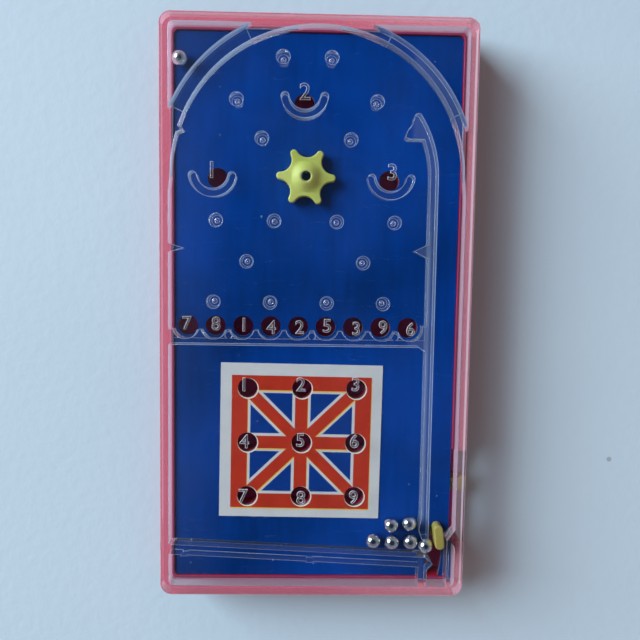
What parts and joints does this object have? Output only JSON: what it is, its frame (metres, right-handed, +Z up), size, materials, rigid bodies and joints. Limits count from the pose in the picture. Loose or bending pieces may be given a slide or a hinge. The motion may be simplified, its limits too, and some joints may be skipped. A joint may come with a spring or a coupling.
{
  "type": "pocket ball game",
  "caption": "Flat pocket ball game: red tray, blue hole board, clear cover with pins and cups, a sprung thumb lever, a star spinner and loose steel balls.",
  "frame": {"origin": "middle of the tray's flat underside", "axes": "+X across the case towards the launch lane and thumb tab, +Y along the case towards the arched end, +Z up through the clear cover"},
  "size_m": [0.07, 0.127, 0.013],
  "materials": {
    "tray_red": "moulded red plastic, semi-gloss",
    "board_blue": "moulded deep blue plastic, semi-gloss",
    "label_print": "printed coated paper",
    "clear_plastic": "clear moulded polystyrene with fine scratches",
    "star_yellow": "translucent yellow-green moulded plastic",
    "lever_yellow": "moulded yellow plastic",
    "spring_wire": "drawn spring wire",
    "ball_steel": "polished bearing steel"
  },
  "bodies": {
    "case": {"base_tray": "tray_red", "playfield_board": "board_blue", "grid_label": "label_print", "clear_cover": "clear_plastic", "launcher_spring": "spring_wire"},
    "star": {"star_spinner": "star_yellow"},
    "lever": {"launcher_lever": "lever_yellow"},
    "ball_a": {"ball_1": "ball_steel"},
    "ball_b": {"ball_2": "ball_steel"},
    "ball_c": {"ball_3": "ball_steel"},
    "ball_d": {"ball_4": "ball_steel"},
    "ball_e": {"ball_5": "ball_steel"},
    "ball_f": {"ball_6": "ball_steel"},
    "ball_g": {"ball_7": "ball_steel"}
  },
  "joints": [
    {"name": "star_spin", "type": "hinge", "parent": "case", "child": "star", "pos_m": [-0.0026, 0.0299, 0.0083], "axis": [0, 0, 1], "continuous": true},
    {"name": "lever_swing", "type": "hinge", "parent": "case", "child": "lever", "pos_m": [-0.00063, -0.0543, 0.0034], "axis": [0, 0, -1], "range_deg": [0, 14], "stiffness_Nm_per_rad": 0.01, "springref_deg": -17.19, "deforming": ["launcher_spring"]},
    {"name": "ball_a_roll", "type": "slide", "parent": "case", "child": "ball_a", "axis": [0, 1, 0], "range_m": [0, 0.039]},
    {"name": "ball_b_roll", "type": "slide", "parent": "case", "child": "ball_b", "axis": [0, 1, 0], "range_m": [0, 0.0384]},
    {"name": "ball_c_roll", "type": "slide", "parent": "case", "child": "ball_c", "axis": [-0.9989, 0.0463, 0], "range_m": [0, 0.0438]},
    {"name": "ball_d_roll", "type": "slide", "parent": "case", "child": "ball_d", "axis": [-0.9989, 0.0463, 0], "range_m": [0, 0.0438]},
    {"name": "ball_e_roll", "type": "slide", "parent": "case", "child": "ball_e", "axis": [-0.9989, 0.0463, 0], "range_m": [0, 0.0438]},
    {"name": "ball_f_roll", "type": "slide", "parent": "case", "child": "ball_f", "axis": [-0.9989, 0.0463, 0], "range_m": [0, 0.0438]},
    {"name": "ball_g_roll", "type": "slide", "parent": "case", "child": "ball_g", "axis": [0, 1, 0], "range_m": [-0.003, 0.005]}
  ],
  "couplings": [
    {"joint": "ball_d_roll", "follows": "ball_c_roll", "ratio": 1},
    {"joint": "ball_e_roll", "follows": "ball_c_roll", "ratio": 1},
    {"joint": "ball_f_roll", "follows": "ball_c_roll", "ratio": 1}
  ]
}
